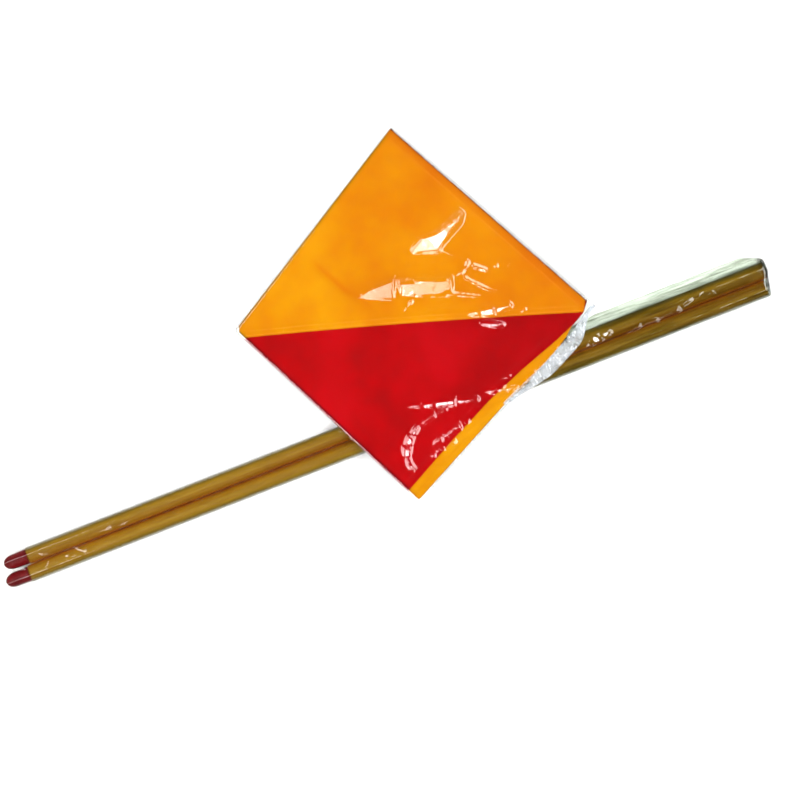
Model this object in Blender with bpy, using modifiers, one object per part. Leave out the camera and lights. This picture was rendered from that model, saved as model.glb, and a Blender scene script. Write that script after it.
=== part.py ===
"""Pair of hand signalling flags, packed: two wooden staffs in a clear film sleeve, and two
square flags folded in quarters in a clear film bag that leans on the staffs.
X runs along the staffs towards their plain ends, Z is up, and the floor is Z = 0."""

import math

import bmesh
import bpy
from mathutils import Vector

# Driving dimensions, in metres
GAP = 0.0003
STAFF_LENGTH = 0.762
STAFF_RADIUS = 0.00795
STAFF_END_ROUND = 0.0009
STAFF_1_PLAIN_END = 0.383
STAFF_2_PLAIN_END = 0.379
TIP_LENGTH = 0.0235
TIP_BASE_RADIUS = 0.0073
TIP_NOSE_RADIUS = 0.0068
TIP_NOSE_LENGTH = 0.0095
TIP_COAT = 0.0005
FILM = 0.0002
ROUND_STEPS = 40

# The sleeve's mouth, its closed end, and the slack fold of film along its +Y side
SLEEVE_MOUTH_X = -0.387
SLEEVE_END_X = 0.3858
SLEEVE_END_ROUND = 0.0008
SLACK_FOLD_Y = 0.0258
SLACK_FOLD_RADIUS = 0.0008

# How far the slack fold is let out, from 0 to 1, by X
SLACK_STATIONS = (
    (SLEEVE_MOUTH_X, 0.0),
    (0.140, 0.0),
    (0.165, 0.25),
    (0.195, 0.75),
    (0.220, 0.98),
    (0.345, 1.0),
    (0.366, 1.0),
    (0.378, 0.55),
    (SLEEVE_END_X - SLEEVE_END_ROUND, 0.25),
    (SLEEVE_END_X, 0.22),
)

# The folded flag in plan: L is the flag's middle, where both fold lines cross
CORNER_L = Vector((-0.0964, 0.1345))
CORNER_T = Vector((0.1060, 0.2575))
CORNER_R = Vector((0.2219, 0.0353))
CORNER_B = Vector((0.0053, -0.0746))
FOLDED_SIDE = 0.240
CLOTH = 0.0003
LAYER_PITCH = 0.0011
LAYERS = 4
SEAM_OFFSET = 0.0115
SEAM_GAP = 0.00042
POCKET_WIDTH = 0.032
POCKET_HEIGHT = 0.00075
CORNER_RELIEF = 0.006
DRAWN_IN_START = 0.204
DRAWN_IN_SLOPE = 0.24
TOP_LAYER_SHORT = 0.0015
BEND_STEPS = 6

# The fly edge, along and across: it runs a little hollow from the fold to the end of the seam
FLY_EDGE = (
    (0.2270, 0.0),
    (0.2262, 0.060),
    (0.2274, 0.112),
    (0.2309, 0.152),
    (0.2365, 0.194),
    (0.2380, 0.214),
)
FLY_TOP = 0.2328
SEAM_END = (0.2376, 0.2294)

# The film bag around the two folded flags
BAG_EDGE_ROUND = 0.0012
BAG_LIP = 0.003
BAG_LIP_SLACK = 0.013
BAG_LIP_RISE = (0.110, 0.180)
BAG_LIP_FALL = (0.206, 0.240)
BAG_SPANS = 14

BUNDLE_HEIGHT = 2 * (STAFF_RADIUS + GAP + FILM)
STAFF_AXIS_Z = BUNDLE_HEIGHT / 2
STAFF_AXIS_Y = STAFF_RADIUS + GAP / 2
STACK_HALF = LAYERS * LAYER_PITCH - LAYER_PITCH / 2 + CLOTH / 2
BAG_HALF = STACK_HALF + GAP + FILM


def clear_scene():
    for old in list(bpy.data.objects):
        bpy.data.objects.remove(old, do_unlink=True)


def make_material(name, colour, roughness, alpha=1.0):
    """A Principled material with a colour from 0 to 1, linear."""
    mat = bpy.data.materials.new(name)
    mat.use_nodes = True
    shader = mat.node_tree.nodes["Principled BSDF"]
    shader.inputs["Base Color"].default_value = (*colour, 1.0)
    shader.inputs["Roughness"].default_value = roughness
    shader.inputs["Metallic"].default_value = 0.0
    shader.inputs["Alpha"].default_value = alpha
    return mat


def add_object(name, mesh, mat, parent=None):
    obj = bpy.data.objects.new(name, mesh)
    mesh.materials.append(mat)
    collection.objects.link(obj)
    obj.parent = parent
    return obj


# Staffs and their tips, turned about Z with the tip upwards, then laid along -X


def add_turned(name, profile, mat, plain_end_x, side):
    """Turns a profile of (radius, height) points, and lays it down beside the other staff."""
    mesh = bpy.data.meshes.new(name)
    points = [(radius, 0.0, height) for radius, height in profile]
    mesh.from_pydata(points, [(i, i + 1) for i in range(len(points) - 1)], [])
    obj = add_object(name, mesh, mat)
    screw = obj.modifiers.new("turn", "SCREW")
    screw.axis = "Z"
    screw.steps = ROUND_STEPS
    screw.render_steps = ROUND_STEPS
    screw.use_merge_vertices = True
    screw.merge_threshold = 0.00001
    screw.use_smooth_shade = True
    obj.location = (plain_end_x, side * STAFF_AXIS_Y, STAFF_AXIS_Z)
    obj.rotation_euler = (0.0, -math.pi / 2, 0.0)
    return obj


def nose_profile(inset):
    """The bullet nose from its apex down to its base, moved inwards by inset."""
    steps = 7
    points = []
    for i in range(steps + 1):
        angle = math.pi / 2 * i / steps
        radius = (TIP_NOSE_RADIUS - inset) * math.sin(angle)
        height = STAFF_LENGTH - inset - (TIP_NOSE_LENGTH - inset) * (1 - math.cos(angle))
        points.append((radius, height))
    points.append((TIP_BASE_RADIUS - inset, STAFF_LENGTH - TIP_LENGTH))
    return points


def staff_profile():
    shoulder = STAFF_LENGTH - TIP_LENGTH - GAP
    nose = nose_profile(TIP_COAT + GAP)
    neck = nose[-1][0]
    edge = STAFF_END_ROUND
    body = [(neck, shoulder), (STAFF_RADIUS - edge / 3, shoulder), (STAFF_RADIUS, shoulder - edge / 3)]
    plain_end = []
    for i in range(4):
        angle = math.pi / 2 * i / 3
        plain_end.append((STAFF_RADIUS - edge * (1 - math.cos(angle)), edge * (1 - math.sin(angle))))
    return nose[:-1] + body + plain_end + [(0.0, 0.0)]


def tip_profile():
    return nose_profile(0.0) + nose_profile(TIP_COAT)[::-1]


# The film sleeve round both staffs


def slack_tangent():
    """The angle where the film leaves staff 1 for the slack fold, the same for any slack."""
    across = SLACK_FOLD_Y - STAFF_AXIS_Y
    down = STAFF_AXIS_Z - SLACK_FOLD_RADIUS
    reach = math.hypot(across, down)
    return math.acos(down / reach) - math.atan2(down, across)


def arc_points(x, y, z, radius, start, end, steps):
    angles = [start + (end - start) * i / steps for i in range(steps + 1)]
    return [(x, y + radius * math.cos(angle), z + radius * math.sin(angle)) for angle in angles]


def sleeve_ring(x, slack, shrink):
    """One cross-section: slack 0 hugs the staffs, 1 has the whole slack fold on the +Y side."""
    radius = STAFF_AXIS_Z - shrink
    fold_radius = STAFF_AXIS_Z + (SLACK_FOLD_RADIUS - STAFF_AXIS_Z) * slack - shrink
    fold_y = STAFF_AXIS_Y + (SLACK_FOLD_Y - STAFF_AXIS_Y) * slack
    fold_z = fold_radius + shrink
    tangent = slack_tangent()
    up = math.pi / 2
    ring = arc_points(x, -STAFF_AXIS_Y, STAFF_AXIS_Z, radius, up, 3 * up, 12)
    ring += arc_points(x, fold_y, fold_z, fold_radius, -up, tangent, 8)
    ring += arc_points(x, STAFF_AXIS_Y, STAFF_AXIS_Z, radius, tangent, up, 5)[1:]
    return ring


def add_film(name, rings, mat, parent=None):
    """Skins the rings, closes the last one and gives the film its thickness inwards."""
    grid = bmesh.new()
    loops = [[grid.verts.new(point) for point in ring] for ring in rings]
    for near, far in zip(loops, loops[1:]):
        for i in range(len(near)):
            j = (i + 1) % len(near)
            grid.faces.new((near[i], near[j], far[j], far[i]))
    grid.faces.new(loops[-1])
    bmesh.ops.recalc_face_normals(grid, faces=grid.faces)
    mesh = bpy.data.meshes.new(name)
    grid.to_mesh(mesh)
    grid.free()
    mesh.shade_smooth()
    obj = add_object(name, mesh, mat, parent)
    solidify = obj.modifiers.new("film", "SOLIDIFY")
    solidify.thickness = FILM
    solidify.offset = -1.0
    solidify.use_even_offset = True
    return obj


def add_sleeve():
    rings = []
    for x, slack in SLACK_STATIONS:
        shrink = SLEEVE_END_ROUND if x == SLEEVE_END_X else 0.0
        rings.append(sleeve_ring(x, slack, shrink))
    return add_film("staff_sleeve", rings, film_material)


# The leaning plane of the folded flags, and the flags' panels in it


def packet_tilt():
    """The bag leans from the top of staff 1's side of the sleeve down to the floor at corner T."""
    run = CORNER_T.y + GAP + FILM - STAFF_AXIS_Y
    return math.atan2(BUNDLE_HEIGHT + GAP, run)


def add_packet_plane():
    plane = bpy.data.objects.new("packet_plane", None)
    collection.objects.link(plane)
    tilt = packet_tilt()
    lift = BUNDLE_HEIGHT + GAP + BAG_HALF / math.cos(tilt)
    plane.location = (0.0, STAFF_AXIS_Y, lift)
    plane.rotation_euler = (-tilt, 0.0, 0.0)
    return plane


def packet_point(along, across, height):
    """A point of the folded flag: along runs from L to B, across from L to T."""
    u = along / FOLDED_SIDE
    v = across / FOLDED_SIDE
    near = CORNER_L.lerp(CORNER_B, u)
    far = CORNER_T.lerp(CORNER_R, u)
    plan = near.lerp(far, v)
    return Vector((plan.x, (plan.y - STAFF_AXIS_Y) / math.cos(packet_tilt()), height))


def pocket_edge(across):
    """The pole pocket's outer edge: straight, then drawn in towards corner R."""
    return FOLDED_SIDE - DRAWN_IN_SLOPE * max(0.0, across - DRAWN_IN_START)


def panel_edge(across):
    """Where the flag's own cloth ends, beside the pocket."""
    return pocket_edge(across) - POCKET_WIDTH - GAP


def seam_meets_pocket():
    """The point of layer C where the diagonal seam reaches the pocket."""
    straight = FOLDED_SIDE - POCKET_WIDTH - GAP
    along = (straight - DRAWN_IN_SLOPE * (SEAM_OFFSET - DRAWN_IN_START)) / (1 + DRAWN_IN_SLOPE)
    return along, along + SEAM_OFFSET


def add_sheet(name, faces, mat):
    """Welds flat faces and bends into one sheet, and gives the cloth its thickness."""
    grid = bmesh.new()
    for points in faces:
        grid.faces.new([grid.verts.new(point) for point in points])
    bmesh.ops.remove_doubles(grid, verts=grid.verts, dist=0.00002)
    bmesh.ops.recalc_face_normals(grid, faces=grid.faces)
    mesh = bpy.data.meshes.new(name)
    grid.to_mesh(mesh)
    grid.free()
    obj = add_object(name, mesh, mat, packet_plane)
    solidify = obj.modifiers.new("cloth", "SOLIDIFY")
    solidify.thickness = CLOTH
    solidify.offset = 0.0
    solidify.use_even_offset = True
    return obj


def flat_face(outline, height):
    return [packet_point(along, across, height) for along, across in outline]


def bend_faces(edge, start, end, upper, lower):
    """The half round of cloth that joins two layers along the fold line along = 0 or across = 0."""
    middle = (upper + lower) / 2
    radius = (upper - lower) / 2
    rows = []
    for i in range(BEND_STEPS + 1):
        angle = math.pi * i / BEND_STEPS
        out = -radius * math.sin(angle)
        height = middle + radius * math.cos(angle)
        if edge == "along":
            rows.append((packet_point(out, start, height), packet_point(out, end, height)))
        else:
            rows.append((packet_point(start, out, height), packet_point(end, out, height)))
    return [(a[0], a[1], b[1], b[0]) for a, b in zip(rows, rows[1:])]


def yellow_faces(heights):
    """Yellow half: the corner T side of layer A, all of B, and the corner B side of layer C."""
    a, b, c, _ = heights
    relief = CORNER_RELIEF
    top = FOLDED_SIDE - TOP_LAYER_SHORT
    turn = DRAWN_IN_START
    layer_a = [(0, relief), (0, top), (FLY_TOP, top), SEAM_END, (SEAM_OFFSET, 0), (relief, 0)]
    hoist = [(panel_edge(turn), turn), (panel_edge(0), 0), (relief, 0)]
    layer_b = [(0, relief), (0, top), (panel_edge(top), top)] + hoist
    layer_c = [(0, relief), (0, SEAM_OFFSET), seam_meets_pocket()] + hoist
    faces = [flat_face(layer_a, a), flat_face(layer_b, b), flat_face(layer_c, c)]
    faces += bend_faces("along", relief, top, a, b)
    faces += bend_faces("across", relief, panel_edge(0), b, c)
    return faces


def red_faces(heights):
    """Red half: the corner B side of layer A, the corner T side of layer C, and all of D."""
    a, _, c, d = heights
    start = SEAM_OFFSET + SEAM_GAP
    side = FOLDED_SIDE
    meeting_along, meeting_across = seam_meets_pocket()
    seam_end = (SEAM_END[0], SEAM_END[1] - SEAM_GAP)
    fly = [(start, 0)] + list(FLY_EDGE) + [seam_end]
    layer_c = [(0, start), (meeting_along, meeting_across + SEAM_GAP), (panel_edge(side), side), (0, side)]
    layer_d = fly + [(FLY_TOP, side), (0, side), (0, start)]
    faces = [flat_face(fly, a), flat_face(layer_c, c), flat_face(layer_d, d)]
    faces += bend_faces("across", start, FLY_EDGE[0][0], a, d)
    faces += bend_faces("along", start, side, c, d)
    return faces


def pocket_faces(heights):
    """The pole pocket: a flattened tube along the hoist, folded once between layers B and C."""
    _, b, c, _ = heights
    radius = (b - c) / 2
    middle = (b + c) / 2
    half = (POCKET_HEIGHT - CLOTH) / 2
    length = FOLDED_SIDE - TOP_LAYER_SHORT
    # each step of the path is its place across, its height, and the way that its cloth faces
    path = [(length, b, 0.0, 1.0), (DRAWN_IN_START, b, 0.0, 1.0)]
    for i in range(BEND_STEPS + 1):
        angle = math.pi * i / BEND_STEPS
        out, up = -math.sin(angle), math.cos(angle)
        path.append((radius * out, middle + radius * up, out, up))
    path += [(DRAWN_IN_START, c, 0.0, -1.0), (length, c, 0.0, -1.0)]
    rings = []
    for across, height, out, up in path:
        outer = pocket_edge(across) - CLOTH / 2
        inner = pocket_edge(across) - POCKET_WIDTH + CLOTH / 2
        ring = []
        for middle_along, start in ((outer - half, math.pi / 2), (inner + half, -math.pi / 2)):
            for k in range(4):
                turn = start - math.pi * k / 3
                ring.append((middle_along + half * math.cos(turn), half * math.sin(turn)))
        rings.append([packet_point(x, across + out * y, height + up * y) for x, y in ring])
    faces = []
    for near, far in zip(rings, rings[1:]):
        for i in range(len(near)):
            j = (i + 1) % len(near)
            faces.append((near[i], near[j], far[j], far[i]))
    return faces


def add_flag(name, top_height):
    heights = [top_height - i * LAYER_PITCH for i in range(LAYERS)]
    add_sheet(name + "_yellow_panel", yellow_faces(heights), yellow_material)
    add_sheet(name + "_red_panel", red_faces(heights), red_material)
    add_sheet(name + "_pole_pocket", pocket_faces(heights), pocket_material)


# The film bag, a flat tube closed along L-T and open past the pole pockets


def smooth_step(value, start, end):
    part = min(1.0, max(0.0, (value - start) / (end - start)))
    return part * part * (3 - 2 * part)


def lip_length(across):
    """How far the film reaches past the pockets: little at both corners, slack before corner R."""
    slack = smooth_step(across, *BAG_LIP_RISE) * (1 - smooth_step(across, *BAG_LIP_FALL))
    return BAG_LIP + BAG_LIP_SLACK * slack


def bag_section(shrink):
    """Points (across, height) once round the flat bag, with its two edges rounded."""
    edge = BAG_EDGE_ROUND
    low = -1.5 * LAYER_PITCH - CLOTH / 2 - 2 * GAP + shrink + edge
    high = FOLDED_SIDE + BAG_EDGE_ROUND - shrink - edge
    half = BAG_HALF - shrink
    rise = half - edge
    section = []
    for quarter, (middle, height) in enumerate(((low, rise), (low, -rise), (high, -rise), (high, rise)), 1):
        for k in range(3):
            angle = math.pi / 2 * (quarter + k / 2)
            section.append((middle + edge * math.cos(angle), height + edge * math.sin(angle)))
        if quarter == 2:
            section += [(low + (high - low) * k / BAG_SPANS, -half) for k in range(1, BAG_SPANS)]
    section += [(high + (low - high) * k / BAG_SPANS, half) for k in range(1, BAG_SPANS)]
    return section


def bag_ring(along, shrink, at_lip):
    ring = []
    for across, height in bag_section(shrink):
        reach = along + (lip_length(across) if at_lip else 0.0)
        ring.append(packet_point(reach, across, height))
    return ring


def add_bag():
    closed = -LAYER_PITCH / 2 - CLOTH / 2 - GAP - FILM
    rings = [
        bag_ring(FOLDED_SIDE, 0.0, True),
        bag_ring(FOLDED_SIDE - 0.012, 0.0, False),
        bag_ring(FOLDED_SIDE / 2, 0.0, False),
        bag_ring(closed + 0.0006, 0.0, False),
        bag_ring(closed, 0.0005, False),
    ]
    return add_film("flag_bag", rings, film_material, packet_plane)


clear_scene()
collection = bpy.data.collections.new("signal_flag_set")
bpy.context.scene.collection.children.link(collection)

wood_material = make_material("varnished_wood", (0.377, 0.205, 0.010), 0.45)
tip_material = make_material("red_lacquer", (0.238, 0.001, 0.003), 0.25)
yellow_material = make_material("yellow_flag_cloth", (0.913, 0.376, 0.002), 0.6)
red_material = make_material("red_flag_cloth", (0.546, 0.002, 0.008), 0.6)
pocket_material = make_material("pocket_cloth", (0.913, 0.376, 0.002), 0.65)
film_material = make_material("clear_film", (0.95, 0.96, 0.95), 0.08, alpha=0.25)

for number, end, side in ((1, STAFF_1_PLAIN_END, 1), (2, STAFF_2_PLAIN_END, -1)):
    add_turned(f"staff_{number}", staff_profile(), wood_material, end, side)
    add_turned(f"staff_{number}_tip", tip_profile(), tip_material, end, side)
add_sleeve()
packet_plane = add_packet_plane()
add_flag("flag_1", (LAYERS - 0.5) * LAYER_PITCH)
add_flag("flag_2", -0.5 * LAYER_PITCH)
add_bag()
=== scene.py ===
# Packed pair of hand signalling flags: the looks, built round the solids of the frame.
import math

import bmesh
import bpy
import numpy as np
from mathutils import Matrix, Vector, noise


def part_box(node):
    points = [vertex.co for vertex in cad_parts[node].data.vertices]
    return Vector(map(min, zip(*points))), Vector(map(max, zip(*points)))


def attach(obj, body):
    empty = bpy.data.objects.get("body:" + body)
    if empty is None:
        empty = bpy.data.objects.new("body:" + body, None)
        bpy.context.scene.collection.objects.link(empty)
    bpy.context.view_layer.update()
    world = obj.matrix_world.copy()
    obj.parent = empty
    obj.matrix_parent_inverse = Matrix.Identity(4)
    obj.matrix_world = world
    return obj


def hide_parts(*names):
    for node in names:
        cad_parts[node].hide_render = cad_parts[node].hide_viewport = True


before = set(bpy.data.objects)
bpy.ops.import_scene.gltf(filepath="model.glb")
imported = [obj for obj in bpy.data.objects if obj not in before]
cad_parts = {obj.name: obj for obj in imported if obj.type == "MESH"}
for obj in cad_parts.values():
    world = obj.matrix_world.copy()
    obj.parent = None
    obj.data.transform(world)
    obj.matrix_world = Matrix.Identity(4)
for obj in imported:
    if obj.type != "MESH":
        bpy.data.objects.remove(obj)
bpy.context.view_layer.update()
mm = 0.001
print("frame loaded:", len(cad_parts), "solids")


# the eye and the key lamp come first, because the film's folds are turned to face that lamp
studio = {
    "floor": "#FDFDFC",
    # the camera looks straight down; lengths in metres
    "eyeDistance": 14.0, "viewWidth": 0.748, "centre": (0.0217, 0.0182), "turn": math.radians(-21.2),
    "keyDistance": 14.0, "keyAim": (0.09, 0.06), "keyTowards": (-0.138, -0.062, 1.0),
    "keySize": 1.55, "keyRadiance": 4.6, "coreSize": 0.45, "coreRadiance": 24.0,
    # how far beside the lamp's bright core the softer folds look, as X and Y
    "besideCore": (0.36, -0.38),
    # soft panels: azimuth in degrees, radiance; panelRise is how far they stand up per metre out
    "panels": ((30, 4.9), (150, 4.9), (210, 6.1), (330, 5.6)),
    "panelSize": 1.8, "panelDistance": 3.2, "panelRise": 1.6,
    # the world's brightness low down and overhead, and the heights between which it changes
    "horizon": 0.1, "zenith": 0.012, "horizonHeight": 0.35, "zenithHeight": 0.92,
}
eyePlace = Vector((*studio["centre"], studio["eyeDistance"]))
keyAim = Vector((*studio["keyAim"], 0.0))
keyPlace = keyAim + Vector(studio["keyTowards"]).normalized() * studio["keyDistance"]
besideCore = keyPlace + Vector((*studio["besideCore"], 0.0))


def toLinear(hexColour):
    # sRGB hex to the linear values that the shader takes
    channels = [int(hexColour[i:i + 2], 16) / 255 for i in (1, 3, 5)]
    return [c / 12.92 if c <= 0.04045 else ((c + 0.055) / 1.055) ** 2.4 for c in channels] + [1.0]


def noiseScale(size):
    # the texture scale that draws features of a real size in mm, over coordinates in metres
    return 1 / (size * mm)


def waveScale(spacing):
    # the same for the lines of a wave texture, whose period is 0.314 / scale
    return 0.314 / (spacing * mm)


def newMaterial(name, colour, roughness, **sockets):
    material = bpy.data.materials.new(name)
    material.use_nodes = True
    shader = material.node_tree.nodes["Principled BSDF"]
    shader.inputs["Base Color"].default_value = toLinear(colour)
    shader.inputs["Roughness"].default_value = roughness
    for socket, value in sockets.items():
        shader.inputs[socket.replace("_", " ")].default_value = value
    return material, shader


def addNode(material, kind, settings=None, sockets=None, stops=()):
    # settings are the node's own properties; sockets take a value, a hex colour or another node's output;
    # stops are a ramp's (place, hex colour)
    tree = material.node_tree
    node = tree.nodes.new(kind)
    for key, value in (settings or {}).items():
        setattr(node, key, value)
    for key, value in (sockets or {}).items():
        if isinstance(value, bpy.types.NodeSocket):
            tree.links.new(value, node.inputs[key])
        else:
            node.inputs[key].default_value = toLinear(value) if isinstance(value, str) else value
    for number, (place, colour) in enumerate(stops):
        # a new ramp has two stops of its own
        element = node.color_ramp.elements[number] if number < 2 else node.color_ramp.elements.new(place)
        element.position = place
        element.color = toLinear(colour)
    return node


def plug(material, shader, sockets):
    # feeds outputs of nodes into the shader
    for key, source in sockets.items():
        material.node_tree.links.new(source, shader.inputs[key])


def linkPiece(name, mesh, material):
    # puts a finished mesh in the scene
    mesh.shade_smooth()
    mesh.materials.append(material)
    piece = bpy.data.objects.new(name, mesh)
    bpy.context.scene.collection.objects.link(piece)
    return piece


def addMesh(name, vertices, faces, material):
    mesh = bpy.data.meshes.new(name)
    mesh.from_pydata([tuple(v) for v in vertices], [], faces)
    grid = bmesh.new()
    grid.from_mesh(mesh)
    bmesh.ops.recalc_face_normals(grid, faces=grid.faces)
    grid.to_mesh(mesh)
    grid.free()
    return linkPiece(name, mesh, material)


def addLoft(name, rings, material, closeStart=False, closeEnd=False):
    # skins rings of equal point count: rings is an array of ring, point, xyz
    count, around = rings.shape[:2]
    faces = []
    for i in range(count - 1):
        for j in range(around):
            k = (j + 1) % around
            faces.append((i * around + j, i * around + k, (i + 1) * around + k, (i + 1) * around + j))
    if closeStart:
        faces.append(tuple(range(around)))
    if closeEnd:
        faces.append(tuple(range((count - 1) * around, count * around)))
    return addMesh(name, rings.reshape(-1, 3), faces, material)


def applyModifiers(piece):
    bpy.context.view_layer.update()
    depsgraph = bpy.context.evaluated_depsgraph_get()
    mesh = bpy.data.meshes.new_from_object(piece.evaluated_get(depsgraph))
    piece.modifiers.clear()
    piece.data = mesh
    return piece


def addThickness(piece, thickness, offset):
    solidify = piece.modifiers.new("thickness", "SOLIDIFY")
    solidify.thickness = thickness
    solidify.offset = offset
    solidify.use_even_offset = True
    applyModifiers(piece)
    # 55 degrees keeps the sheet's rim crisp and its folds smooth
    piece.data.set_sharp_from_angle(angle=math.radians(55))
    return piece


def smoothNoise(x, y, size, seed):
    # gentle noise from -1 to 1 over points in metres, with features of about size metres
    points = zip((x / size).ravel(), (y / size).ravel())
    values = [noise.noise(Vector((a, b, seed))) for a, b in points]
    return np.array(values).reshape(x.shape)


def smoothStep(value, start, end):
    part = np.clip((value - start) / (end - start), 0, 1)
    return part * part * (3 - 2 * part)


def strip(*points):
    # outlines of a narrow facet along points of (x, y, width), in mm
    sides = []
    for i, (x, y, width) in enumerate(points):
        x0, y0, _ = points[max(i - 1, 0)]
        x1, y1, _ = points[min(i + 1, len(points) - 1)]
        length = math.hypot(x1 - x0, y1 - y0)
        nx, ny = (y0 - y1) / length * width / 2, (x1 - x0) / length * width / 2
        sides.append(((x + nx, y + ny), (x - nx, y - ny)))
    return [(a[0], a[1], b[1], b[0]) for a, b in zip(sides, sides[1:])]


def outlineDistance(x, y, outline):
    # distance in metres outside a convex outline given in mm, 0 within it
    points = np.array(outline) * mm
    edges = np.roll(points, -1, axis=0) - points
    if np.sum(points[:, 0] * edges[:, 1] - points[:, 1] * edges[:, 0]) > 0:
        points, edges = points[::-1], -np.roll(edges[::-1], -1, axis=0)
    # both start past any real distance
    outside = np.full_like(x, -1.0)
    nearest = np.full_like(x, 1.0)
    for (px, py), (ex, ey) in zip(points, edges):
        length = math.hypot(ex, ey)
        if length > 0:
            outside = np.maximum(outside, ((y - py) * ex - (x - px) * ey) / length)
            part = np.clip(((x - px) * ex + (y - py) * ey) / length ** 2, 0, 1)
            nearest = np.minimum(nearest, np.hypot(x - px - part * ex, y - py - part * ey))
    return np.where(outside > 0, nearest, 0.0)


def facetField(x, y, facets, lampPoint, slopeOfPlane, flank, dome, base):
    # height in metres of film folded into facets, each one convex outline in mm or a list of joined ones:
    # a facet tilts until it mirrors lampPoint to the eye, rises from base, and falls off outside its
    # outline by flank metres per metre; dome curves it, so that its glint fades towards its ends
    field = np.zeros_like(x)
    for facet in facets:
        outlines = facet if isinstance(facet[0][0], tuple) else [facet]
        points = np.array([point for outline in outlines for point in outline]) * mm
        middle = Vector((*points.mean(axis=0), 0.0))
        half = (lampPoint - middle).normalized() + (eyePlace - middle).normalized()
        riseX, riseY = -half.x / half.z, -half.y / half.z - slopeOfPlane
        height = x * riseX + y * riseY - (points @ np.array([riseX, riseY])).min() + base
        height = height - dome * ((x - middle.x) ** 2 + (y - middle.y) ** 2)
        distance = np.min([outlineDistance(x, y, outline) for outline in outlines], axis=0)
        field = np.maximum(field, height - flank * distance)
    return field


smoothRange = {"interpolation_type": "SMOOTHSTEP"}
colourMix = {"data_type": "RGBA", "blend_type": "MIX"}
colourMultiply = {"data_type": "RGBA", "blend_type": "MULTIPLY"}
# a colour mix node takes its factor at socket 0 and its colours at 6 and 7, and gives the result at 2


def honeyVarnishedDowel():
    # beech dowel, sanded and dipped in honey varnish: fine long fibres and slow brown streaks under a
    # soft gloss
    wood = {
        "light": "#7F6205", "mid": "#745603", "dark": "#663F03",
        # the last three colours are painted shade: in the gap between the staffs, beside it, and on their
        # outer sides
        "gapShade": "#8A4E0C", "gapWarmShade": "#F0BE78", "sideShade": "#3E3C06",
        # sizes in mm across the grain
        "ringSpacing": 3.2, "fibre": 0.5, "streak": 8.33,
        # how much the fibres and streaks are drawn out along the grain
        "ringStretch": 0.03, "fibreStretch": 0.02,
        # the middle of the tree, off the dowel's side, as X, Y and Z in metres
        "heart": (0, 0.021, 0.034),
    }
    material, shader = newMaterial("honeyVarnishedDowel", wood["mid"], 0.46,
                                   Coat_Weight=0.02, Coat_Roughness=0.3, Specular_IOR_Level=0.12)
    place = addNode(material, "ShaderNodeTexCoord").outputs["Object"]
    tilted = addNode(material, "ShaderNodeMapping", sockets={
        "Scale": (wood["ringStretch"], 1, 1), "Location": wood["heart"], "Vector": place}).outputs["Vector"]
    rings = addNode(material, "ShaderNodeTexWave", {"wave_type": "RINGS", "rings_direction": "X"}, {
        "Scale": waveScale(wood["ringSpacing"]), "Distortion": 4.0, "Detail": 2.0, "Detail Scale": 0.6,
        "Vector": tilted}).outputs["Fac"]
    lengthwise = addNode(material, "ShaderNodeMapping", sockets={
        "Scale": (wood["fibreStretch"], 1, 1), "Vector": place}).outputs["Vector"]
    fibres = addNode(material, "ShaderNodeTexNoise", sockets={
        "Scale": noiseScale(wood["fibre"]), "Detail": 3.0, "Vector": lengthwise}).outputs["Fac"]
    streaks = addNode(material, "ShaderNodeTexNoise", sockets={
        "Scale": noiseScale(wood["streak"]), "Detail": 2.0, "Roughness": 0.6,
        "Vector": lengthwise}).outputs["Fac"]
    colour = addNode(material, "ShaderNodeValToRGB", sockets={"Fac": streaks}, stops=[
        (0.26, wood["dark"]), (0.46, wood["mid"]), (0.72, wood["light"])]).outputs["Color"]
    ringShade = addNode(material, "ShaderNodeValToRGB", sockets={"Fac": rings}, stops=[
        (0.0, "#DCCBA8"), (0.55, "#FFFFFF"), (1.0, "#F0E4CC")]).outputs["Color"]
    fibreShade = addNode(material, "ShaderNodeValToRGB", sockets={"Fac": fibres}, stops=[
        (0.35, "#CDBB9C"), (0.55, "#FFFFFF")]).outputs["Color"]
    for amount, shade in ((0.7, ringShade), (0.55, fibreShade)):
        colour = addNode(material, "ShaderNodeMix", colourMultiply, {
            0: amount, 6: colour, 7: shade}).outputs[2]
    # painted shade: red-brown in the shaded gap where the two staffs touch, warmer and darker beside it,
    # and darker olive towards their outer sides, which turn from the light; distances in metres from the
    # line between the staffs
    across = addNode(material, "ShaderNodeSeparateXYZ", sockets={"Vector": place}).outputs["Y"]
    distance = addNode(material, "ShaderNodeMath", {"operation": "ABSOLUTE"}, {0: across}).outputs[0]
    zones = ((0.0007, 0.0021, 0.92, 0.0, colourMix, wood["gapShade"]),
             (0.002, 0.009, 0.5, 0.0, colourMultiply, wood["gapWarmShade"]),
             (0.0105, 0.0155, 0.0, 0.75, colourMix, wood["sideShade"]))
    for near, far, start, end, blend, shade in zones:
        amount = addNode(material, "ShaderNodeMapRange", smoothRange, {
            "From Min": near, "From Max": far, "To Min": start, "To Max": end,
            "Value": distance}).outputs["Result"]
        colour = addNode(material, "ShaderNodeMix", blend, {0: amount, 6: colour, 7: shade}).outputs[2]
    gloss = addNode(material, "ShaderNodeMapRange", sockets={
        "To Min": 0.4, "To Max": 0.55, "Value": fibres}).outputs["Result"]
    bump = addNode(material, "ShaderNodeBump", sockets={
        "Strength": 0.3, "Distance": 0.00008, "Height": fibres}).outputs["Normal"]
    plug(material, shader, {"Base Color": colour, "Roughness": gloss, "Normal": bump})
    return material


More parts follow.
